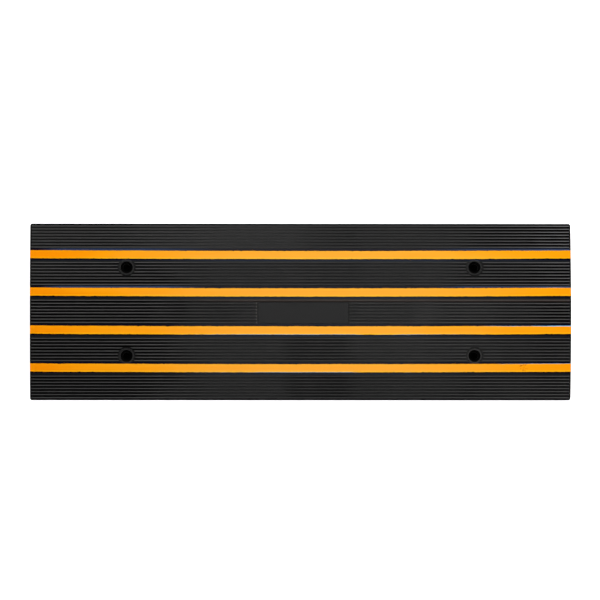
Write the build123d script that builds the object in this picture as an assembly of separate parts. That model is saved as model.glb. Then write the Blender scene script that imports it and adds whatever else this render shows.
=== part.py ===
from build123d import *
import math
import os

# A rubber speed bump: a moulded rubber ramp, low and arched across its width, with
# lengthwise ribs, four reflective strips laid in channels, and four bolt holes, each
# carried by a steel ring moulded into the rubber. The underside is a waffle of pockets.
#
# Millimetres. Origin at the centre of the flat base, +X along the bump, +Y across it
# (the way a wheel crosses), +Z up. "Rear" is +Y, "front" is -Y, "right" is +X.
# Places on the arched top are arc lengths from the crest, positive towards the rear.

# Driving dimensions
LENGTH = 1000.0
WIDTH = 327.0
HEIGHT = 40.0               # crest of the arch, over the rib tops
TOE_HEIGHT = 11.0           # the arch over the two long edges
CORNER_RADIUS = 4.0         # upright corners, seen from above
EDGE_ROUND = 2.0            # rounding all along the top rim

RIB_HEIGHT = 2.2
RIB_PITCH = 5.9
RIB_TOP_WIDTH = 2.5
RIB_BASE_WIDTH = 4.8
RIB_ROUND = 0.5
RIBS_PER_BAND = 8
RIB_SETBACK = 2.6           # from the ends of the bump to the rib ends
RIB_ROOT = 1.0              # how far a rib is carried down into the rubber

STRIP_SPACING = 70.7        # between strip centres, along the arch
STRIP_WIDTH = 15.6
STRIP_THICKNESS = 1.2
STRIP_GAP = 1.7             # open channel on each side of a strip
STRIP_DEPTH = 1.7           # strip's face, below the rib tops
STRIP_EDGE_ROUND = 0.25

HOLE_SPACING_X = 643.0
HOLE_SPACING_Y = 163.5
HOLE_RADIUS = 6.75          # clearance for an M12 anchor
COUNTERBORE_RADIUS = 11.4   # takes a socket-head M12 with a small washer
COLLAR_RADIUS = 13.7        # smooth land around a counterbore
LAND_DEPTH = 1.0            # lands round the holes and the centre, below the rib tops
LAND_EDGE = 0.6             # chamfer round each land
RIB_END_SLOPE = 60.0        # rib ends facing a land, degrees from upright

RING_RADIUS = 18.0
RING_THICKNESS = 3.0
RING_BOTTOM = 6.0           # rubber under each ring

PLATE_LENGTH = 166.0        # blank rectangular land near the middle
PLATE_MIDDLE = 4.0          # it sits a little to the right of centre
PLATE_FRONT = -22.6         # its front and rear edges on the arch: it leaves the
PLATE_REAR = 16.9           # rearmost rib of the centre band whole

WALL = 13.0                 # rubber between the rib roots and the pockets
POCKET_PITCH_X = 64.0
POCKET_PITCH_Y = 54.0
WEB = 8.0                   # between neighbouring pockets
POCKETS_PER_ROW = 15
ROWS_PER_SIDE = 3
POCKET_REACH = 136.0        # the outer rows stop here, leaving a solid rim
POCKET_CORNER = 5.0
POCKET_DRAFT = 2.0          # degrees

# Worked out from the driving dimensions
HALF_WIDTH = WIDTH / 2
RISE = HEIGHT - TOE_HEIGHT
ARCH_RADIUS = (HALF_WIDTH**2 + RISE**2) / (2 * RISE)
ARCH_AXIS_Z = HEIGHT - ARCH_RADIUS
BAND_CENTRES = [STRIP_SPACING * n for n in (-2, -1, 0, 1, 2)]
STRIP_PLACES = {
    "rear_outer": 1.5 * STRIP_SPACING,
    "rear_inner": 0.5 * STRIP_SPACING,
    "front_inner": -0.5 * STRIP_SPACING,
    "front_outer": -1.5 * STRIP_SPACING,
}
HOLE_PLACES = {
    "rear_left": (-HOLE_SPACING_X / 2, HOLE_SPACING_Y / 2),
    "rear_right": (HOLE_SPACING_X / 2, HOLE_SPACING_Y / 2),
    "front_left": (-HOLE_SPACING_X / 2, -HOLE_SPACING_Y / 2),
    "front_right": (HOLE_SPACING_X / 2, -HOLE_SPACING_Y / 2),
}
CLEAR = 1.0                 # cutting tools run this far past a face
TALL = 2 * HEIGHT           # cutting tools that go right through


def on_arch(piece, arc_length):
    """A piece made at the crest, carried round the arch to the given arc length."""
    turn = Rot(X=-math.degrees(arc_length / ARCH_RADIUS))
    return Pos(Z=ARCH_AXIS_Z) * turn * Pos(Z=-ARCH_AXIS_Z) * piece


def at_hole(piece, name):
    x, y = HOLE_PLACES[name]
    return Pos(x, y) * piece


def square_to_hole(piece, name):
    """A piece made at the crest, carried to a hole's place and square to the arch."""
    x, y = HOLE_PLACES[name]
    return Pos(X=x) * on_arch(piece, ARCH_RADIUS * math.asin(y / ARCH_RADIUS))


def arched_prism(length, half_width, depth):
    """A bar under the arch, flat at z = 0, with its top the given depth below the arch."""
    radius = ARCH_RADIUS - depth
    side = math.sqrt(radius**2 - half_width**2) + ARCH_AXIS_Z
    foot = [(-half_width, 0), (half_width, 0)]
    if side <= 0:
        reach = math.sqrt(radius**2 - ARCH_AXIS_Z**2)
        foot, side, half_width = [(-reach, 0), (reach, 0)], 0, reach
    shoulders = [(-half_width, side), (half_width, side)]
    outline = [Line(*foot), ThreePointArc(shoulders[1], (0, HEIGHT - depth), shoulders[0])]
    if side > 0:
        outline += [Line(foot[1], shoulders[1]), Line(shoulders[0], foot[0])]
    section = Plane.YZ * make_face(outline)
    return extrude(section, length / 2, both=True)


def plain_ramp():
    """The ramp at the level of the rib roots, with its upright corners and rim rounded."""
    ramp = arched_prism(LENGTH, HALF_WIDTH, RIB_HEIGHT)
    ramp = fillet(ramp.edges().filter_by(Axis.Z), CORNER_RADIUS)
    rim = [edge for edge in ramp.edges() if edge.bounding_box().min.Z > CLEAR]
    return fillet(rim, EDGE_ROUND)


def rib():
    """One rib at the crest: drafted sides, rounded top edges and rounded ends."""
    half_base = RIB_BASE_WIDTH / 2
    half_top = RIB_TOP_WIDTH / 2
    flare = (half_base - half_top) / RIB_HEIGHT * RIB_ROOT
    root = HEIGHT - RIB_HEIGHT - RIB_ROOT
    section = Plane.YZ * make_face(Polyline(
        (-half_base - flare, root), (half_base + flare, root),
        (half_top, HEIGHT), (-half_top, HEIGHT), close=True))
    bar = extrude(section, LENGTH / 2 - RIB_SETBACK, both=True)
    return fillet(bar.faces().sort_by(Axis.Z)[-1].edges(), RIB_ROUND)


def rib_places():
    offsets = [(n - (RIBS_PER_BAND - 1) / 2) * RIB_PITCH for n in range(RIBS_PER_BAND)]
    return [centre + offset for centre in BAND_CENTRES for offset in offsets]


def collar_clearing():
    """What is taken out of the ribs round a hole: it widens upwards, so ribs end in slopes."""
    foot = HEIGHT - RIB_HEIGHT
    spread = (TALL - foot) * math.tan(math.radians(RIB_END_SLOPE))
    cone = Cone(COLLAR_RADIUS, COLLAR_RADIUS + spread, TALL - foot,
                align=(Align.CENTER, Align.CENTER, Align.MIN))
    below = Cylinder(COLLAR_RADIUS, RIB_ROOT + CLEAR,
                     align=(Align.CENTER, Align.CENTER, Align.MAX))
    return Pos(Z=foot) * (cone + below)


def plate_outline():
    outline = Rectangle(PLATE_LENGTH, PLATE_REAR - PLATE_FRONT)
    return Pos(X=PLATE_MIDDLE, Y=(PLATE_FRONT + PLATE_REAR) / 2) * outline


def plate_clearing():
    """What is taken out of the ribs over the centre plate, with the same sloped rib ends."""
    foot = HEIGHT - RIB_HEIGHT
    above = extrude(Pos(Z=foot) * plate_outline(), RIB_HEIGHT + CLEAR, taper=-RIB_END_SLOPE)
    below = extrude(Pos(Z=foot) * plate_outline(), -(RIB_ROOT + CLEAR))
    return above + below


def ribs():
    clearings = [square_to_hole(collar_clearing(), name) for name in HOLE_PLACES]
    clearings.append(plate_clearing())
    one = rib()
    return [on_arch(one, place) - clearings for place in rib_places()]


def collar():
    """The smooth land round a hole, made at the crest."""
    foot = HEIGHT - RIB_HEIGHT - RIB_ROOT
    land = Cylinder(COLLAR_RADIUS, HEIGHT - LAND_DEPTH - foot,
                    align=(Align.CENTER, Align.CENTER, Align.MIN))
    return Pos(Z=foot) * chamfer(land.edges().sort_by(Axis.Z)[-1], LAND_EDGE)


def centre_plate():
    """The blank land at the middle, arched like the ribs around it."""
    block = extrude(Pos(Z=HEIGHT / 2) * plate_outline(), HEIGHT)
    land = block & arched_prism(LENGTH, HALF_WIDTH, LAND_DEPTH)
    top = land.faces().sort_by(Axis.Z)[-1]
    return chamfer(top.edges(), LAND_EDGE)


def strip_channel():
    """The channel that a strip lies in, made at the crest and open at both ends."""
    floor = HEIGHT - STRIP_DEPTH - STRIP_THICKNESS
    channel = Box(LENGTH + 2 * CLEAR, STRIP_WIDTH + 2 * STRIP_GAP, TALL - floor,
                  align=(Align.CENTER, Align.CENTER, Align.MIN))
    return Pos(Z=floor) * channel


def reflective_strip(place):
    floor = HEIGHT - STRIP_DEPTH - STRIP_THICKNESS
    strip = Box(LENGTH, STRIP_WIDTH, STRIP_THICKNESS, align=(Align.CENTER, Align.CENTER, Align.MIN))
    top = strip.faces().sort_by(Axis.Z)[-1]
    strip = fillet(top.edges(), STRIP_EDGE_ROUND)
    return on_arch(Pos(Z=floor) * strip, place)


def upright_bore(radius, bottom, top):
    return Pos(Z=bottom) * Cylinder(radius, top - bottom,
                                    align=(Align.CENTER, Align.CENTER, Align.MIN))


def hole_cuts():
    """A bolt hole: clearance bore through the base, ring seat, and counterbore to the top."""
    bore = upright_bore(HOLE_RADIUS, -CLEAR, RING_BOTTOM + CLEAR)
    seat = upright_bore(RING_RADIUS, RING_BOTTOM, RING_BOTTOM + RING_THICKNESS)
    counterbore = upright_bore(COUNTERBORE_RADIUS, RING_BOTTOM + RING_THICKNESS / 2, TALL)
    return bore + seat + counterbore


def bolt_ring(name):
    outer = upright_bore(RING_RADIUS, RING_BOTTOM, RING_BOTTOM + RING_THICKNESS)
    inner = upright_bore(HOLE_RADIUS, RING_BOTTOM - CLEAR, RING_BOTTOM + RING_THICKNESS + CLEAR)
    return at_hole(outer - inner, name)


def pocket(row):
    """One underside pocket of a row, counted outwards from the middle, at x = 0."""
    inner = row * POCKET_PITCH_Y + WEB / 2
    outer = min((row + 1) * POCKET_PITCH_Y - WEB / 2, POCKET_REACH)
    mouth = RectangleRounded(POCKET_PITCH_X - WEB, outer - inner, POCKET_CORNER)
    middle = (inner + outer) / 2
    block = extrude(Pos(Y=middle) * mouth, HEIGHT, taper=POCKET_DRAFT)
    spill = extrude(Pos(Y=middle) * mouth, -CLEAR)
    ceiling = arched_prism(LENGTH, HALF_WIDTH, RIB_HEIGHT + WALL)
    return (block & ceiling) + spill


def near_a_hole(x, row):
    """Pockets over the bolt holes are left solid."""
    hole_row = int(HOLE_SPACING_Y / 2 // POCKET_PITCH_Y)
    return row == hole_row and abs(abs(x) - HOLE_SPACING_X / 2) < POCKET_PITCH_X / 2


def pockets():
    columns = [(n - (POCKETS_PER_ROW - 1) / 2) * POCKET_PITCH_X for n in range(POCKETS_PER_ROW)]
    placed = []
    for row in range(ROWS_PER_SIDE):
        rear = pocket(row)
        front = mirror(rear, about=Plane.XZ)
        for x in columns:
            if not near_a_hole(x, row):
                placed += [Pos(X=x) * rear, Pos(X=x) * front]
    return placed


def rubber_body():
    body = plain_ramp() + ribs() + centre_plate()
    body += [square_to_hole(collar(), name) for name in HOLE_PLACES]
    body -= [on_arch(strip_channel(), place) for place in STRIP_PLACES.values()]
    body -= [at_hole(hole_cuts(), name) for name in HOLE_PLACES]
    body -= pockets()
    return body


def main():
    os.makedirs("parts", exist_ok=True)
    nodes = {"rubber_body": rubber_body()}
    for name, place in STRIP_PLACES.items():
        nodes[f"reflective_strip_{name}"] = reflective_strip(place)
    for name in HOLE_PLACES:
        nodes[f"bolt_ring_{name}"] = bolt_ring(name)
    for name, shape in nodes.items():
        export_step(shape, f"parts/{name}.step")


main()
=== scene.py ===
import bpy
import bmesh
import math
import random
from collections import namedtuple
from mathutils import Matrix, Vector


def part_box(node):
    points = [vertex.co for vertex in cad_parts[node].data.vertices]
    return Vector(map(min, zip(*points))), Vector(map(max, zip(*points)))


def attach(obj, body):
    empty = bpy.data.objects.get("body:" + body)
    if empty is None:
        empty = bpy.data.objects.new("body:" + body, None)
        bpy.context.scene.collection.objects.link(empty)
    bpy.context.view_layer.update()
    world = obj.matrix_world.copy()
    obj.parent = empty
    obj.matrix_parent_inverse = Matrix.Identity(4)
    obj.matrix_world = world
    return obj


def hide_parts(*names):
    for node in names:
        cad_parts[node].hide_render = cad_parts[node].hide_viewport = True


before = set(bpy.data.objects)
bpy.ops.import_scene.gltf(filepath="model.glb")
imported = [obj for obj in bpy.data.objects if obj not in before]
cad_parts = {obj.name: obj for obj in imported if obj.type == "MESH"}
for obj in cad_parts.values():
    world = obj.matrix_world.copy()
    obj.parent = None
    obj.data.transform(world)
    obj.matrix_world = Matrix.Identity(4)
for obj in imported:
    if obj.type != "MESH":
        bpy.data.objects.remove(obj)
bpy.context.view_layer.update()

# Lengths are in metres. X runs along the ramp and Y to its rear.

# ---------------------------------------------------------------- measures of the CAD part

# The arch that the ramp follows is worked out from the body's box.
HALF_LENGTH, HALF_WIDTH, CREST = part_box("rubber_body")[1]
TOE_HEIGHT = 0.011                     # of the arch at the long edges
RISE = CREST - TOE_HEIGHT
ARCH_RADIUS = (HALF_WIDTH**2 + RISE**2) / (2 * RISE)
ARCH_AXIS_Z = CREST - ARCH_RADIUS
STRIP_SPACING = 0.0707                 # between strips, and between the bands of ribs, round the arch
STRIP_GAP = 0.0017                     # open channel on each side of a strip
RIB_MARGIN = 0.0026                    # from a channel to the foot of the nearest rib
RIB_PITCH = 0.0059
COLLAR_RADIUS = 0.0137                 # smooth land round a bolt hole
PLATE_LENGTH = 0.166                   # blank land near the middle
PLATE_MIDDLE = 0.004
PLATE_FRONT = -0.0226
PLATE_REAR = 0.0169

STRIPS = [name for name in sorted(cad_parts) if name.startswith("reflective_strip")]
RINGS = [name for name in sorted(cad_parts) if name.startswith("bolt_ring")]


# ---------------------------------------------------------------- node helpers

Axes = namedtuple("Axes", "x y z")
MIX_FACTOR, MIX_FIRST, MIX_SECOND = 0, 6, 7        # sockets of a colour mix
MIX_RESULT = 2


def rgb(red, green, blue):
    return (red, green, blue, 1.0)


def grey(level):
    return rgb(level, level, level)


def new_material(name):
    """A material with its shader node, and a function that adds and wires further nodes."""
    material = bpy.data.materials.new(name)
    material.use_nodes = True
    tree = material.node_tree
    shader = tree.nodes["Principled BSDF"]

    def add(kind, inputs=None, **settings):
        node = tree.nodes.new(kind)
        for key, value in settings.items():
            setattr(node, key, value)
        for key, value in (inputs or {}).items():
            if isinstance(value, bpy.types.NodeSocket):
                tree.links.new(value, node.inputs[key])
            else:
                node.inputs[key].default_value = value
        return node

    def wire(output, socket):
        tree.links.new(output, socket)

    return material, shader, add, wire


def math_node(add, operation, first, second=None, clamp=False):
    inputs = {0: first} if second is None else {0: first, 1: second}
    return add("ShaderNodeMath", inputs, operation=operation, use_clamp=clamp).outputs[0]


def plus(add, first, second):
    return math_node(add, "ADD", first, second)


def minus(add, first, second, clamp=False):
    return math_node(add, "SUBTRACT", first, second, clamp)


def times(add, first, second):
    return math_node(add, "MULTIPLY", first, second)


def over(add, first, second):
    return math_node(add, "DIVIDE", first, second)


def larger(add, first, second):
    return math_node(add, "MAXIMUM", first, second)


def magnitude(add, value):
    return math_node(add, "ABSOLUTE", value)


def distance_from(add, value, centre):
    return magnitude(add, minus(add, value, centre))


def square_sum(add, first, second):
    return plus(add, math_node(add, "POWER", first, 2.0), math_node(add, "POWER", second, 2.0))


def ramp(add, value, start, full):
    """0 at start, 1 at full, smooth between them."""
    inputs = {"Value": value, "From Min": start, "From Max": full}
    return add("ShaderNodeMapRange", inputs, interpolation_type="SMOOTHSTEP").outputs["Result"]


def spread(add, value, least, most):
    """From least to most as the value goes from 0 to 1."""
    return add("ShaderNodeMapRange", {"Value": value, "To Min": least, "To Max": most}).outputs["Result"]


def noise(add, place, scale, detail=3.0, roughness=0.5):
    inputs = {"Vector": place, "Scale": scale, "Detail": detail, "Roughness": roughness}
    return add("ShaderNodeTexNoise", inputs).outputs["Fac"]


def mix_colour(add, factor, first, second):
    """The first colour where the factor is 0, the second where it is 1."""
    inputs = {MIX_FACTOR: factor, MIX_FIRST: first, MIX_SECOND: second}
    return add("ShaderNodeMix", inputs, data_type="RGBA").outputs[MIX_RESULT]


def stretched(add, place, along, across):
    """A place whose noise is drawn out along the ramp when across is the larger factor."""
    factors = (along, across, across)
    return add("ShaderNodeVectorMath", {0: place, 1: factors}, operation="MULTIPLY").outputs[0]


def bump(add, height, strength, distance, below=None):
    """A normal raised by a height, on top of another normal if one is given."""
    inputs = {"Height": height, "Strength": strength, "Distance": distance}
    if below is not None:
        inputs["Normal"] = below
    return add("ShaderNodeBump", inputs).outputs["Normal"]


def split(add, vector):
    return Axes(*add("ShaderNodeSeparateXYZ", {0: vector}).outputs)


# ---------------------------------------------------------------- regions of the rubber

# Each pair says where a mask starts and where it is full.

SHEEN_CENTRE = 0.04                    # the painted sheen of the overhead softbox, on rubber and film, is centred a little to the right
MIDDLE_UNEVENNESS = 0.5                # how far noise shifts its ends, as a share of the half length
NOISE_MEAN = 0.5

LAND_REACH = (COLLAR_RADIUS + 0.0024, COLLAR_RADIUS + 0.0006)      # from a hole's axis
WELL_REACH = (COLLAR_RADIUS, COLLAR_RADIUS - 0.0005)
MOUTH_HIGHLIGHT_INSIDE = (0.0110, 0.0115)
MOUTH_HIGHLIGHT_OUTSIDE = (0.0136, 0.0128)
MOUTH_HIGHLIGHT_RIGHT = (0.0, 0.1)
MOUTH_HIGHLIGHT_FRONT = (0.0, -0.05)
MOUTH_HIGHLIGHT_LEAST = 0.2                      # at the three holes whose painted highlight is weaker

PLATE_BLUR = 0.0003
PLATE_END = PLATE_MIDDLE + PLATE_LENGTH / 2
PLATE_BORDER = (PLATE_END - 0.0062, PLATE_END - 0.0052)

GAP_INNER_BLUR = 0.0006
GAP_OUTER_BLUR = 0.0002
HAZE_REAR = (0.0, 0.01)
HAZE_LEFT = (-0.98 * HALF_LENGTH, -0.88 * HALF_LENGTH)

CROWN_HALF = 0.00055                   # half width of the painted highlight line along a rib
CROWN_OFFSET = 0.0003                  # uphill of the rib's middle line
CROWN_BLUR = 0.35
RIB_MIDDLE = 0.5                       # share of the pitch
STAIN_FRONT = (PLATE_REAR, PLATE_REAR + 0.0016)
STAIN_LEFT = (-0.5 * HALF_LENGTH, -0.2 * HALF_LENGTH)
RIM_ENDS = (HALF_LENGTH - 0.0028, HALF_LENGTH - 0.0022)
RIM_SIDES = (HALF_WIDTH - 0.0036, HALF_WIDTH - 0.0030)

GROOVE_LIFT_PATCHES = (                       # (x, reach, y, reach, more or less groove lift)
    (-0.14, 0.17, 0.135, 0.030, 0.60),
    (0.055, 0.055, 0.099, 0.064, -0.25),
    (0.035, 0.060, -0.099, 0.064, -0.55),
    (-0.18, 0.060, 0.0, 0.033, -0.35),
    (0.28, 0.080, -0.035, 0.068, 0.35),
    (0.30, 0.240, -0.135, 0.030, -0.28),
    (0.43, 0.090, 0.099, 0.064, -0.22),
)
PATCH_BLUR_X = 0.4                     # as a share of a patch's reach
PATCH_BLUR_Y = 0.1
CORNER_LIFT = 0.6
SHEEN_RIGHT = (0.32 * HALF_LENGTH, 0.48 * HALF_LENGTH)
SHEEN_RIGHT_END = (0.94 * HALF_LENGTH, 0.80 * HALF_LENGTH)

BRIGHTEST_RIGHT = (0.55 * HALF_LENGTH, HALF_LENGTH)
BRIGHTEST_REAR = (-0.2 * HALF_WIDTH, HALF_WIDTH)
DIM_HIGHLIGHT_LEFT = (-0.5 * HALF_LENGTH, -0.7 * HALF_LENGTH)
DIM_HIGHLIGHT_FRONT = (0.0, -0.3 * HALF_WIDTH)
DIM_HIGHLIGHT_RIGHT = (0.32 * HALF_LENGTH, 0.48 * HALF_LENGTH)
DIM_HIGHLIGHT_BAND = (0.040, 0.033)       # from the middle of the front inner band


def middle_share(add, axes, uneven, start, full):
    """0 at the ends of the ramp and 1 near its middle, unevenly. Start and full are in half lengths."""
    reach = over(add, distance_from(add, axes.x, SHEEN_CENTRE), HALF_LENGTH)
    shift = times(add, minus(add, uneven, NOISE_MEAN), MIDDLE_UNEVENNESS)
    return ramp(add, plus(add, reach, shift), start, full)


def arch_depth(add, axes):
    """How far a point lies below the arch of the rib tops."""
    height = minus(add, axes.z, ARCH_AXIS_Z)
    return minus(add, ARCH_RADIUS, math_node(add, "SQRT", square_sum(add, height, axes.y)))


def hole_distance(add, axes):
    """From the axis of the nearest bolt hole."""
    low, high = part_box(RINGS[0])
    along = distance_from(add, magnitude(add, axes.x), abs(low.x + high.x) / 2)
    across = distance_from(add, magnitude(add, axes.y), abs(low.y + high.y) / 2)
    return math_node(add, "SQRT", square_sum(add, along, across))


def hole_land(add, axes):
    """1 on the smooth lands round the bolt holes."""
    return ramp(add, hole_distance(add, axes), *LAND_REACH)


def well(add, axes):
    """1 inside the bolt holes."""
    return ramp(add, hole_distance(add, axes), *WELL_REACH)


def highlit_mouth(add, axes):
    """1 round the mouth of the front right bolt hole, where a highlight is painted, and less round the
    others.
    """
    distance = hole_distance(add, axes)
    ring = times(add, ramp(add, distance, *MOUTH_HIGHLIGHT_INSIDE), ramp(add, distance, *MOUTH_HIGHLIGHT_OUTSIDE))
    front_right = times(add, ramp(add, axes.x, *MOUTH_HIGHLIGHT_RIGHT), ramp(add, axes.y, *MOUTH_HIGHLIGHT_FRONT))
    return times(add, ring, plus(add, times(add, front_right, 1 - MOUTH_HIGHLIGHT_LEAST), MOUTH_HIGHLIGHT_LEAST))


def within(add, value, middle, half, blur):
    return ramp(add, distance_from(add, value, middle), half + blur, half - blur)


def plate_land(add, axes):
    """1 on the blank plate near the middle."""
    along = within(add, axes.x, PLATE_MIDDLE, PLATE_LENGTH / 2, PLATE_BLUR)
    across = within(add, axes.y, (PLATE_FRONT + PLATE_REAR) / 2, (PLATE_REAR - PLATE_FRONT) / 2, PLATE_BLUR)
    return times(add, along, across)


def plate_border(add, axes):
    """1 along the plate's right end, which is a little paler: a painted highlight."""
    return ramp(add, axes.x, *PLATE_BORDER)


def beside_strips(add, axes, side, width):
    """1 beside every strip, for a width out from its edge: behind it if side is 1, in front if side is -1."""
    total = 0.0
    for name in STRIPS:
        low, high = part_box(name)
        edge = high.y if side > 0 else low.y
        beyond = times(add, minus(add, axes.y, edge), side)
        share = times(add, ramp(add, beyond, -GAP_INNER_BLUR, 0.0),
                      ramp(add, beyond, width + GAP_OUTER_BLUR, width - GAP_OUTER_BLUR))
        total = larger(add, share, total)
    return total


def gaps(add, axes, middle, colour):
    """The sunk margins beside the strips: painted shade, dark at the ends and lifted by the painted sheen in
    the middle, hazy blue behind the two rear strips.
    """
    wide = STRIP_GAP + RIB_MARGIN
    front = mix_colour(add, middle, FRONT_GAP_SHADE, FRONT_GAP_SHEEN)
    colour = mix_colour(add, beside_strips(add, axes, -1, wide), colour, front)
    hazy = times(add, ramp(add, axes.y, *HAZE_REAR), ramp(add, axes.x, *HAZE_LEFT))
    rear = mix_colour(add, middle, mix_colour(add, hazy, REAR_GAP_SHADE, BLUE_HAZE), GAP_SHEEN)
    colour = mix_colour(add, beside_strips(add, axes, 1, wide), colour, rear)
    channel = mix_colour(add, middle, CHANNEL_SHADE, GAP_SHEEN)
    return mix_colour(add, beside_strips(add, axes, -1, STRIP_GAP), colour, channel)


def crown(add, axes):
    """1 along the narrow crown of each rib, a little uphill of its middle line, where a highlight line is
    painted.
    """
    height = minus(add, axes.z, ARCH_AXIS_Z)
    place = times(add, math_node(add, "ARCTAN2", axes.y, height), ARCH_RADIUS)
    band = math_node(add, "ROUND", over(add, place, STRIP_SPACING))
    in_band = minus(add, place, times(add, band, STRIP_SPACING))
    in_rib = minus(add, math_node(add, "FRACT", over(add, in_band, RIB_PITCH)), RIB_MIDDLE)
    downhill = times(add, in_rib, math_node(add, "SIGN", axes.y))
    return ramp(add, distance_from(add, downhill, -CROWN_OFFSET / RIB_PITCH),
                (1 + CROWN_BLUR) * CROWN_HALF / RIB_PITCH, (1 - CROWN_BLUR) * CROWN_HALF / RIB_PITCH)


def stained_rib(add, axes):
    """The rearmost rib of the centre band, stained brown from left of the plate to the right end."""
    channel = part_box("reflective_strip_rear_inner")[0].y - STRIP_GAP
    across = times(add, ramp(add, axes.y, *STAIN_FRONT), ramp(add, axes.y, channel, channel - RIB_MARGIN))
    return times(add, across, ramp(add, axes.x, *STAIN_LEFT))


def rim(add, axes):
    """1 along the bare margin outside the ribs, which is painted dark as shade."""
    ends = ramp(add, magnitude(add, axes.x), *RIM_ENDS)
    sides = ramp(add, magnitude(add, axes.y), *RIM_SIDES)
    return larger(add, ends, sides)


def groove_lift(add, axes, middle):
    """How much lighter the grooves are: most in the middle, under the painted sheen of the overhead softbox,
    more at the rear left and the front right, and patchy.
    """
    corner = ramp(add, times(add, axes.x, axes.y), 0.0, -HALF_LENGTH * HALF_WIDTH)
    total = plus(add, middle, times(add, corner, CORNER_LIFT))
    for x, x_reach, y, y_reach, amount in GROOVE_LIFT_PATCHES:
        patch = times(add, within(add, axes.x, x, x_reach, PATCH_BLUR_X * x_reach),
                      within(add, axes.y, y, y_reach, PATCH_BLUR_Y * y_reach))
        total = plus(add, total, times(add, patch, amount))
    return larger(add, total, 0.0)


def sheen_right(add, axes):
    """1 on a thinner patch of the painted sheen right of the middle one."""
    return times(add, ramp(add, axes.x, *SHEEN_RIGHT), ramp(add, axes.x, *SHEEN_RIGHT_END))


def brightest_highlights(add, axes):
    """1 at the rear right corner, where the painted highlights on the rib tops are brightest."""
    return times(add, ramp(add, axes.x, *BRIGHTEST_RIGHT), ramp(add, axes.y, *BRIGHTEST_REAR))


def dim_highlights(add, axes):
    """1 where the painted highlights on the rib tops are dimmer: at the front left, and on the front inner
    band's right half.
    """
    left = times(add, ramp(add, axes.x, *DIM_HIGHLIGHT_LEFT), ramp(add, axes.y, *DIM_HIGHLIGHT_FRONT))
    band = ramp(add, distance_from(add, axes.y, -STRIP_SPACING), *DIM_HIGHLIGHT_BAND)
    return larger(add, left, times(add, ramp(add, axes.x, *DIM_HIGHLIGHT_RIGHT), band))


# ---------------------------------------------------------------- materials

# Colours are in linear light.
# painted highlight lines along the rib crowns, dimmer at the front, brightest at the rear right corner
CROWN_HIGHLIGHT = rgb(0.066, 0.0655, 0.065)
DIM_CROWN_HIGHLIGHT = rgb(0.050, 0.050, 0.0505)
CORNER_CROWN_HIGHLIGHT = rgb(0.142, 0.142, 0.146)
# rib tops beside the crowns, painted dark as shade
BESIDE_CROWN_SHADE = grey(0.006)
# rib tops in the middle, under the painted sheen
TOP_UNDER_SHEEN = grey(0.0150)
GROOVE_SHADE = 0.0005                  # groove floors and walls, painted near black as shade
GROOVE_LIFT = 0.0235                    # and what a full lift adds to it: painted sheen in the middle, lighter patches elsewhere
STAINED_GROOVE = rgb(0.030, 0.020, 0.016)
STAINED_TOP = rgb(0.040, 0.031, 0.027)
STAIN_SHARE = 0.8
BLOOM_COLOUR = rgb(0.045, 0.044, 0.042)
BLOOM_SHARE = 0.2
PLATE_COLOUR = rgb(0.0053, 0.0053, 0.0054)
# a painted highlight along the plate's right end
PLATE_BORDER_HIGHLIGHT = grey(0.0066)
MOUTH_HIGHLIGHT = rgb(0.0260, 0.0250, 0.0245)
# painted shade deep in the bolt holes
WELL_SHADE = rgb(0.0016, 0.0016, 0.0017)
FLECK_COLOUR = rgb(0.050, 0.048, 0.046)
FLECK_SHARE = 0.3
SLOPE_HIGHLIGHT_LEFT = rgb(0.026, 0.025, 0.024)  # painted highlights on the ends of ribs that face left, right, or a hole
SLOPE_HIGHLIGHT_RIGHT = rgb(0.058, 0.055, 0.051)
SLOPE_HIGHLIGHT_AT_HOLE = grey(0.028)
# painted shade along the margin outside the ribs
RIM_SHADE = rgb(0.0012, 0.0012, 0.0014)
SKIRT_DARK = grey(0.005)
SKIRT_LIGHT = rgb(0.013, 0.013, 0.0125)
# sunk margins and channels beside the strips: painted shade at the ends, lifted by the painted sheen in the
# middle
FRONT_GAP_SHADE = rgb(0.010, 0.011, 0.013)
FRONT_GAP_SHEEN = rgb(0.018, 0.023, 0.033)
REAR_GAP_SHADE = rgb(0.0014, 0.0030, 0.0120)
BLUE_HAZE = rgb(0.028, 0.049, 0.106)
GAP_SHEEN = rgb(0.018, 0.020, 0.026)
CHANNEL_SHADE = rgb(0.0016, 0.0030, 0.0100)

RUBBER_SHEEN_REACH = (0.66, 0.34)           # the stretch under the painted sheen, in half lengths
SHEEN_RIGHT_SHARE = 0.35
TOP_DEPTH = (0.00032, 0.00005)         # depths below the rib tops
SUNK_DEPTH = (0.0010, 0.0014)
SKIRT_DEPTH = (0.0040, 0.0055)
WELL_DEPTH = (0.0012, 0.0026)
SLOPE_DEPTH = (0.0013, 0.0008)
SLOPE_TILT = (0.25, 0.55)              # the normal's share along X on the ends of ribs
SLOPE_TURN = (-0.1, 0.1)               # from facing left to facing right
SLOPE_HOLE_REACH = (0.020, 0.018)
HIGHLIGHT_STREAKS = (0.0, 0.45)              # levels of the noises that make patches of the painted highlights
BLOOM_PATCHES = (0.45, 0.75)
SKIRT_PATCHES = (0.3, 0.7)
FLECKS = (0.68, 0.80)
RUBBER_ROUGHNESS = (0.50, 0.66)
RUBBER_SHINE = (0.02, 0.22)            # in the grooves, and on rib tops and sides


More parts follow.
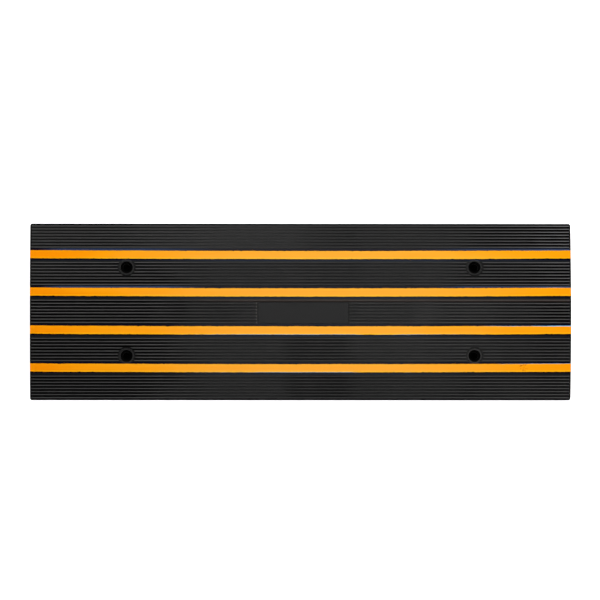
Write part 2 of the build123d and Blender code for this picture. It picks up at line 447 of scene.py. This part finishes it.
def rubber():
    """Moulded black rubber with light and shade painted in: highlight lines along the rib tops towards the
    ends, near-black grooves, and a painted sheen in the middle that lifts the grooves.
    """
    material, shader, add, wire = new_material("black_rubber")
    coordinates = add("ShaderNodeTexCoord")
    place = coordinates.outputs["Object"]
    axes = split(add, place)
    facing = split(add, coordinates.outputs["Normal"])
    uneven = noise(add, stretched(add, place, along=1.0, across=2.5), scale=6.0, detail=2.0)
    bloom = noise(add, place, scale=14.0, detail=4.0, roughness=0.6)
    speckle = noise(add, place, scale=900.0, detail=2.0, roughness=0.7)
    drawn = noise(add, stretched(add, place, along=6.0, across=90.0), scale=5.0)
    grain = noise(add, place, scale=2600.0, detail=2.0, roughness=0.6)

    # the middle: where the painted sheen of the overhead softbox lies
    middle = larger(add, middle_share(add, axes, uneven, *RUBBER_SHEEN_REACH),
                    times(add, sheen_right(add, axes), SHEEN_RIGHT_SHARE))
    depth = arch_depth(add, axes)
    top = ramp(add, depth, *TOP_DEPTH)
    land = larger(add, hole_land(add, axes), plate_land(add, axes))
    shaded_rim = rim(add, axes)
    skirt = minus(add, ramp(add, depth, *SKIRT_DEPTH), well(add, axes), clamp=True)

    crown_highlights = mix_colour(add, dim_highlights(add, axes), CROWN_HIGHLIGHT, DIM_CROWN_HIGHLIGHT)
    crown_highlights = mix_colour(add, brightest_highlights(add, axes), crown_highlights, CORNER_CROWN_HIGHLIGHT)
    tops_light_and_shade = mix_colour(add, crown(add, axes), BESIDE_CROWN_SHADE, crown_highlights)
    tops_light_and_shade = mix_colour(add, middle, tops_light_and_shade, TOP_UNDER_SHEEN)
    groove_shade_and_sheen = plus(add, times(add, groove_lift(add, axes, middle), GROOVE_LIFT), GROOVE_SHADE)
    colour = mix_colour(add, times(add, top, ramp(add, drawn, *HIGHLIGHT_STREAKS)), groove_shade_and_sheen, tops_light_and_shade)

    stain = mix_colour(add, top, STAINED_GROOVE, STAINED_TOP)
    colour = mix_colour(add, times(add, stained_rib(add, axes), STAIN_SHARE), colour, stain)
    blooming = times(add, ramp(add, bloom, *BLOOM_PATCHES), top)
    colour = mix_colour(add, times(add, blooming, BLOOM_SHARE), colour, BLOOM_COLOUR)
    plate = mix_colour(add, plate_border(add, axes), PLATE_COLOUR, PLATE_BORDER_HIGHLIGHT)
    colour = mix_colour(add, land, colour, plate)
    # a painted highlight round the mouths of the bolt holes, strongest at the front right
    colour = mix_colour(add, highlit_mouth(add, axes), colour, MOUTH_HIGHLIGHT)
    # painted shade deep inside the bolt holes
    colour = mix_colour(add, times(add, well(add, axes), ramp(add, depth, *WELL_DEPTH)), colour, WELL_SHADE)
    fleck = times(add, ramp(add, speckle, *FLECKS), top)
    colour = mix_colour(add, times(add, fleck, FLECK_SHARE), colour, FLECK_COLOUR)

    # painted highlights on the sloped ends of the ribs: brighter where they face right, toward the strong
    # right softbox, and dimmed near the holes
    slope = times(add, ramp(add, magnitude(add, facing.x), *SLOPE_TILT), ramp(add, depth, *SLOPE_DEPTH))
    slope_highlight = mix_colour(add, ramp(add, facing.x, *SLOPE_TURN), SLOPE_HIGHLIGHT_LEFT, SLOPE_HIGHLIGHT_RIGHT)
    slope_highlight = mix_colour(add, ramp(add, hole_distance(add, axes), *SLOPE_HOLE_REACH), slope_highlight, SLOPE_HIGHLIGHT_AT_HOLE)
    colour = mix_colour(add, slope, colour, slope_highlight)
    colour = mix_colour(add, ramp(add, depth, *SUNK_DEPTH), colour, gaps(add, axes, middle, colour))
    colour = mix_colour(add, shaded_rim, colour, RIM_SHADE)
    side = mix_colour(add, ramp(add, bloom, *SKIRT_PATCHES), SKIRT_DARK, SKIRT_LIGHT)
    wire(mix_colour(add, skirt, colour, side), shader.inputs["Base Color"])

    wire(spread(add, speckle, *RUBBER_ROUGHNESS), shader.inputs["Roughness"])
    shiny = larger(add, minus(add, larger(add, top, land), shaded_rim, clamp=True), skirt)
    wire(spread(add, shiny, *RUBBER_SHINE), shader.inputs["Specular IOR Level"])

    skin = bump(add, grain, strength=0.35, distance=0.00012)
    wire(bump(add, speckle, strength=0.30, distance=0.0003, below=skin), shader.inputs["Normal"])
    return material


# film and welt colours at the ends, then under the painted sheen of the overhead softbox, in part and in full
FILM_ENDS = rgb(0.95, 0.275, 0.0003)
FILM_SOFT_SHEEN = rgb(0.955, 0.335, 0.003)
FILM_FULL_SHEEN = rgb(0.96, 0.385, 0.034)
WELT_ENDS = rgb(0.97, 0.350, 0.0003)
WELT_SOFT_SHEEN = rgb(0.97, 0.420, 0.004)
WELT_FULL_SHEEN = rgb(0.98, 0.480, 0.034)
BACKING = rgb(0.24, 0.56, 0.84)
SPECK_COLOUR = rgb(0.55, 0.12, 0.002)

SOFT_SHEEN_REACH = (1.12, 0.75)          # in half lengths
FULL_SHEEN_REACH = (0.85, 0.20)
STREAK_SHARE = 0.25
YELLOW_SIDE = (1.6, -0.4)              # yellow weakens from the front edge to the rear one
WORN_PATCHES = (0.30, 0.55)            # levels of the noises that make patches
STREAKS = (0.42, 0.70)
SPECK_MOTTLE = (0.58, 0.64)
FILM_ROUGHNESS = (0.55, 0.75)
FILM_SHINE = 0.02

# How far the bare backing comes in from an edge, as a share of the strip's half width.
BARE_REAR = 0.055
BARE_REAR_MORE = 0.13                  # added on the front inner strip
BARE_FRONT = 0.09
BARE_REAR_X = (0.55 * HALF_LENGTH, 0.95 * HALF_LENGTH)
BARE_FRONT_Y = (0.0, -0.01)
FRONT_INNER_REACH = (0.03, 0.02)
BARE_EDGE = (1.01, 1.02)               # film gives way to backing as the place plus that share passes this

SPECKS = (0.4125, -0.1025, 0.027)      # a few dark specks on the front outer strip
SPECKS_REACH = (0.009, 0.006)


def bare_backing(add, axes, side, full_sheen, slow):
    """1 where the film is worn off: at the rear edges on the right and the front edges in the middle."""
    worn = ramp(add, slow, *WORN_PATCHES)
    low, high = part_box("reflective_strip_front_inner")
    most = ramp(add, distance_from(add, axes.y, (low.y + high.y) / 2), *FRONT_INNER_REACH)
    rear = plus(add, times(add, most, BARE_REAR_MORE), BARE_REAR)
    rear = times(add, times(add, rear, worn), ramp(add, axes.x, *BARE_REAR_X))
    front = times(add, times(add, full_sheen, worn), ramp(add, axes.y, *BARE_FRONT_Y))
    front = times(add, front, BARE_FRONT)
    return ramp(add, larger(add, plus(add, side, rear), minus(add, front, side)), *BARE_EDGE)


def reflective_film():
    """Amber retroreflective film: deep orange at the ends, paler in the middle under a painted sheen of the
    overhead softbox, yellow along its edges.
    """
    material, shader, add, wire = new_material("reflective_film")
    place = add("ShaderNodeTexCoord").outputs["Object"]
    axes = split(add, place)
    edge = add("ShaderNodeAttribute", attribute_name="edge").outputs["Fac"]
    side = add("ShaderNodeAttribute", attribute_name="side").outputs["Fac"]
    slow = noise(add, stretched(add, place, along=1.0, across=6.0), scale=7.0)
    streak = noise(add, stretched(add, place, along=4.0, across=300.0), scale=2.0, roughness=0.6)
    mottle = noise(add, place, scale=450.0, detail=1.0)
    beads = add("ShaderNodeTexVoronoi", {"Vector": place, "Scale": 900.0}).outputs["Distance"]

    # the painted sheen of the overhead softbox on the film, in part and in full
    soft_sheen = middle_share(add, axes, slow, *SOFT_SHEEN_REACH)
    full_sheen = middle_share(add, axes, slow, *FULL_SHEEN_REACH)
    colour = mix_colour(add, full_sheen, mix_colour(add, soft_sheen, FILM_ENDS, FILM_SOFT_SHEEN), FILM_FULL_SHEEN)
    welt = mix_colour(add, full_sheen, mix_colour(add, soft_sheen, WELT_ENDS, WELT_SOFT_SHEEN), WELT_FULL_SHEEN)
    colour = mix_colour(add, times(add, ramp(add, streak, *STREAKS), STREAK_SHARE), colour, welt)
    colour = mix_colour(add, times(add, edge, ramp(add, side, *YELLOW_SIDE)), colour, welt)
    colour = mix_colour(add, bare_backing(add, axes, side, full_sheen, slow), colour, BACKING)
    near = add("ShaderNodeVectorMath", {0: place, 1: SPECKS}, operation="DISTANCE").outputs["Value"]
    specks = times(add, ramp(add, near, *SPECKS_REACH), ramp(add, mottle, *SPECK_MOTTLE))
    wire(mix_colour(add, specks, colour, SPECK_COLOUR), shader.inputs["Base Color"])

    wire(spread(add, beads, *FILM_ROUGHNESS), shader.inputs["Roughness"])
    shader.inputs["Specular IOR Level"].default_value = FILM_SHINE
    wire(bump(add, beads, strength=0.12, distance=0.00008), shader.inputs["Normal"])
    return material


STEEL = rgb(0.0030, 0.0029, 0.0028)
RUBBER_SMEAR = grey(0.0008)
SMEARS = (0.40, 0.62)                  # levels of the noise, from steel to rubber
STEEL_ROUGHNESS = (0.40, 0.80)
STEEL_SHINE = 0.05


def blackened_steel():
    """The bolt rings: phosphated steel with smears of rubber."""
    material, shader, add, wire = new_material("ring_steel")
    place = add("ShaderNodeTexCoord").outputs["Object"]
    smear = noise(add, place, scale=160.0, detail=4.0, roughness=0.6)
    fine = noise(add, place, scale=1400.0, detail=2.0, roughness=0.6)
    wire(mix_colour(add, ramp(add, smear, *SMEARS), STEEL, RUBBER_SMEAR), shader.inputs["Base Color"])
    wire(spread(add, smear, *STEEL_ROUGHNESS), shader.inputs["Roughness"])
    metal = add("ShaderNodeMapRange", {"Value": smear, "From Min": SMEARS[1], "From Max": SMEARS[0]})
    wire(metal.outputs["Result"], shader.inputs["Metallic"])
    shader.inputs["Specular IOR Level"].default_value = STEEL_SHINE
    wire(bump(add, fine, strength=0.3, distance=0.0001), shader.inputs["Normal"])
    return material


def hole_shadow_material():
    """A painted shadow: near-black matt discs on the floor under the bolt holes, standing in for the shade at
    the bottom of each hole.
    """
    material, shader, add, wire = new_material("hole_shadow_material")
    place = add("ShaderNodeTexCoord").outputs["Object"]
    grit = noise(add, place, scale=600.0)
    wire(mix_colour(add, grit, grey(0.0005), grey(0.002)), shader.inputs["Base Color"])
    shader.inputs["Roughness"].default_value = 1.0
    shader.inputs["Specular IOR Level"].default_value = 0.0
    return material


FLOOR_GLOW = 1.0                       # a light table, so the object stands on plain white


def pale_floor():
    material, shader, add, wire = new_material("pale_floor")
    place = add("ShaderNodeTexCoord").outputs["Object"]
    cloud = noise(add, place, scale=0.8)
    wire(mix_colour(add, cloud, grey(0.90), grey(0.92)), shader.inputs["Base Color"])
    shader.inputs["Roughness"].default_value = 0.9
    shader.inputs["Specular IOR Level"].default_value = 0.1
    shader.inputs["Emission Color"].default_value = grey(1.0)
    shader.inputs["Emission Strength"].default_value = FLOOR_GLOW
    return material


# ---------------------------------------------------------------- pieces

def mesh_data(mesh, name):
    data = bpy.data.meshes.new(name)
    mesh.to_mesh(data)
    mesh.free()
    return data


def in_scene(name, data):
    thing = bpy.data.objects.new(name, data)
    bpy.context.scene.collection.objects.link(thing)
    return thing


def give(piece, material):
    piece.data.materials.clear()
    piece.data.materials.append(material)
    for polygon in piece.data.polygons:
        polygon.material_index = 0


def on_arch(place, depth, x):
    """A point at an arc length from the crest, the given depth below the rib tops."""
    angle = place / ARCH_RADIUS
    reach = ARCH_RADIUS - depth
    return Vector((x, reach * math.sin(angle), ARCH_AXIS_Z + reach * math.cos(angle)))


STRIP_HALF = 0.00775
STRIP_DEPTH = 0.0017                   # of the film below the rib tops
STRIP_THICKNESS = 0.0012
STRIP_BOW = 0.0014                     # how far the ends of a strip lie behind its middle
STATIONS = 500                         # rows of points along a strip
SHARP_ANGLE = math.radians(50)

EDGE_WANDER = 0.00020                  # how far an edge strays, slowly
WAVES = 3                              # slow waves along an edge, added up
WAVE_CYCLES = (2, 6)                   # over a strip's length
EDGE_NICK = 0.00035                    # how far it strays from one station to the next
NICK_MEMORY = 0.6                      # share of a nick that the next station keeps
CHIP_DEPTH = 0.0007                    # chips out of an edge
CHIP_SIZES = (0.4, 1.0)                # as shares of that
CHIP_SHARE = 0.05                      # of the stations

WELT_WIDTH = 0.0011                    # raised welt along each edge of the film
WELT_HEIGHT = 0.00022
FLAT_SHARE = 0.45                      # of the half width, where the flat has a row of points
WELT = (                               # (welt widths in from the edge, height, edge value)
    (2.2, 0.0, 0.3),
    (1.6, 0.00003, 1.0),
    (1.0, 0.8 * WELT_HEIGHT, 1.0),
    (0.5, WELT_HEIGHT, 1.0),
    (0.12, 0.6 * WELT_HEIGHT, 0.9),
    (0.0, -WELT_HEIGHT, 0.8),
    (0.0, -STRIP_THICKNESS, 0.5),
)


def wandering_edge(rng, outward):
    """How far one edge of a strip strays at each station: slow waves, short nicks and chips."""
    waves = [(rng.uniform(*WAVE_CYCLES), rng.uniform(0, math.tau)) for _ in range(WAVES)]
    strays, nick = [], 0.0
    for station in range(STATIONS + 1):
        along = station / STATIONS * math.tau
        slow = sum(math.sin(cycles * along + phase) for cycles, phase in waves) / WAVES
        nick = NICK_MEMORY * nick + rng.uniform(-1, 1) * (1 - NICK_MEMORY)
        chip = outward * rng.uniform(*CHIP_SIZES) * CHIP_DEPTH if rng.random() < CHIP_SHARE else 0.0
        strays.append(EDGE_WANDER * slow + EDGE_NICK * nick - chip)
    return strays


def strip_section():
    """Across a strip from front to rear: (share of the half width, height, edge value)."""
    right = [(0.0, 0.0, 0.0), (FLAT_SHARE, 0.0, 0.0)]
    right += [(1 - widths * WELT_WIDTH / STRIP_HALF, height, edge) for widths, height, edge in WELT]
    left = [(-share, height, edge) for share, height, edge in reversed(right[1:])]
    return left + right


def strip_rows(mesh, node):
    """The strip's points, a row round its section at each station, with their edge and side values."""
    low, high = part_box(node)
    middle = (low + high) / 2
    place = ARCH_RADIUS * math.asin(middle.y / math.hypot(middle.y, middle.z - ARCH_AXIS_Z))
    rng = random.Random(node)
    front, rear = wandering_edge(rng, -1), wandering_edge(rng, 1)
    section = strip_section()
    edge_layer = mesh.verts.layers.float.new("edge")
    side_layer = mesh.verts.layers.float.new("side")
    rows = []
    for station in range(STATIONS + 1):
        x = low.x + (high.x - low.x) * station / STATIONS
        centre = place + STRIP_BOW * (x / HALF_LENGTH)**2
        row = []
        for share, height, edge in section:
            stray = rear[station] if share > 0 else front[station]
            across = share * STRIP_HALF + abs(share)**3 * stray
            vertex = mesh.verts.new(on_arch(centre + across, STRIP_DEPTH - height, x))
            vertex[edge_layer] = edge
            vertex[side_layer] = share
            row.append(vertex)
        rows.append(row)
    return rows


def reflective_strip(node, material):
    """A bowed strip of film with raised, nicked edges, in the place of a CAD strip."""
    mesh = bmesh.new()
    rows = strip_rows(mesh, node)
    for one, two in zip(rows, rows[1:]):
        for a, b, c, d in zip(one, one[1:], two[1:], two):
            mesh.faces.new((a, d, c, b))
        mesh.faces.new((one[-1], two[-1], two[0], one[0]))
    mesh.faces.new(rows[0])
    mesh.faces.new(list(reversed(rows[-1])))
    bmesh.ops.recalc_face_normals(mesh, faces=mesh.faces)
    for face in mesh.faces:
        face.smooth = True
    data = mesh_data(mesh, node + "_film")
    data.set_sharp_from_angle(angle=SHARP_ANGLE)
    strip = in_scene(node + "_film", data)
    give(strip, material)
    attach(strip, "root")
    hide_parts(node)


# ---------------------------------------------------------------- stage

CAMERA_DISTANCE = 12.0
LEAN_LEFT = math.radians(0.9)          # of the camera off the vertical
LEAN_FRONT = math.radians(2.0)
AIM = Vector((-0.0010, 0.0217, CREST / 2))
SENSOR = 36.0                          # millimetres
FRAME_WIDTH = 1.1095                   # seen across the frame at the aim
CAMERA_REACH = 100.0                   # how far it sees


def camera():
    data = bpy.data.cameras.new("camera")
    data.sensor_width = SENSOR
    data.lens = SENSOR * CAMERA_DISTANCE / FRAME_WIDTH
    data.clip_end = CAMERA_REACH
    eye = in_scene("camera", data)
    back = Vector((-math.sin(LEAN_LEFT), -math.sin(LEAN_FRONT), 1.0)).normalized()
    right = Vector((0.0, 1.0, 0.0)).cross(back).normalized()
    turn = Matrix((right, back.cross(right), back)).transposed()
    eye.matrix_world = Matrix.Translation(AIM + back * CAMERA_DISTANCE) @ turn.to_4x4()
    bpy.context.scene.camera = eye


FLOOR_HALF = 30.0
HOLE_SHADOW_RADIUS = 0.0075
HOLE_SHADOW_LIFT = 0.0001              # clear of the floor


def floor(material):
    mesh = bmesh.new()
    bmesh.ops.create_grid(mesh, x_segments=4, y_segments=4, size=FLOOR_HALF)
    plane = in_scene("floor", mesh_data(mesh, "floor"))
    give(plane, material)


def hole_shadow_disc(ring, material):
    """A dark disc on the floor under a bolt ring: painted shadow at the bottom of its hole."""
    low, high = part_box(ring)
    mesh = bmesh.new()
    bmesh.ops.create_circle(mesh, cap_ends=True, segments=48, radius=HOLE_SHADOW_RADIUS)
    hole = in_scene("hole_shadow_disc", mesh_data(mesh, "hole_shadow_disc"))
    hole.location = ((low.x + high.x) / 2, (low.y + high.y) / 2, HOLE_SHADOW_LIFT)
    give(hole, material)


SOFTBOX_AIM = Vector((0.0, 0.0, 0.0))
SOFTBOXES = (                          # (name, place, size, watts)
    ("right", (3.0, 0.3, 0.9), (0.8, 2.5), 84.0),
    ("left", (-3.0, 0.0, 0.9), (0.8, 2.5), 16.0),
    ("overhead", (0.0, 0.0, 2.4), (0.5, 3.2), 40.0),
    ("rear", (0.0, 2.6, 2.2), (3.5, 1.2), 31.0),
    ("front", (0.0, -3.0, 0.9), (3.5, 0.8), 9.0),
)
HORIZON = 1.0                          # strength of the white sweep round the horizon
ZENITH = 0.03                          # and of the dark studio overhead
SWEEP_TOP = (0.10, 0.30)               # how far up the white starts to fade, and where it is gone


def softbox(name, place, size, power):
    data = bpy.data.lights.new(name, "AREA")
    data.shape = "RECTANGLE"
    data.size, data.size_y = size
    data.energy = power
    light = in_scene(name, data)
    light.location = place
    light.rotation_euler = (SOFTBOX_AIM - Vector(place)).to_track_quat("-Z", "Y").to_euler()
    light.visible_camera = False


def sweep():
    """A white backdrop round the horizon that fades into a dark studio overhead."""
    world = bpy.data.worlds.new("studio")
    bpy.context.scene.world = world
    world.use_nodes = True
    nodes, links = world.node_tree.nodes, world.node_tree.links
    background = nodes["Background"]
    background.inputs["Color"].default_value = grey(1.0)
    place = nodes.new("ShaderNodeTexCoord")
    axes = nodes.new("ShaderNodeSeparateXYZ")
    fade = nodes.new("ShaderNodeMapRange")
    fade.interpolation_type = "SMOOTHSTEP"
    fade.inputs["From Min"].default_value, fade.inputs["From Max"].default_value = SWEEP_TOP
    fade.inputs["To Min"].default_value = HORIZON
    fade.inputs["To Max"].default_value = ZENITH
    links.new(place.outputs["Generated"], axes.inputs[0])
    links.new(axes.outputs["Z"], fade.inputs["Value"])
    links.new(fade.outputs["Result"], background.inputs["Strength"])


def colour_management():
    view = bpy.context.scene.view_settings
    view.view_transform = "Standard"
    view.look = "None"
    view.exposure = 0.0
    view.gamma = 1.0


# ---------------------------------------------------------------- scene

give(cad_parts["rubber_body"], rubber())
ring_material = blackened_steel()
for name in RINGS:
    give(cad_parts[name], ring_material)
film = reflective_film()
for name in STRIPS:
    reflective_strip(name, film)

floor(pale_floor())
hole_shadow = hole_shadow_material()
for name in RINGS:
    hole_shadow_disc(name, hole_shadow)
sweep()
for settings in SOFTBOXES:
    softbox(*settings)
camera()
colour_management()
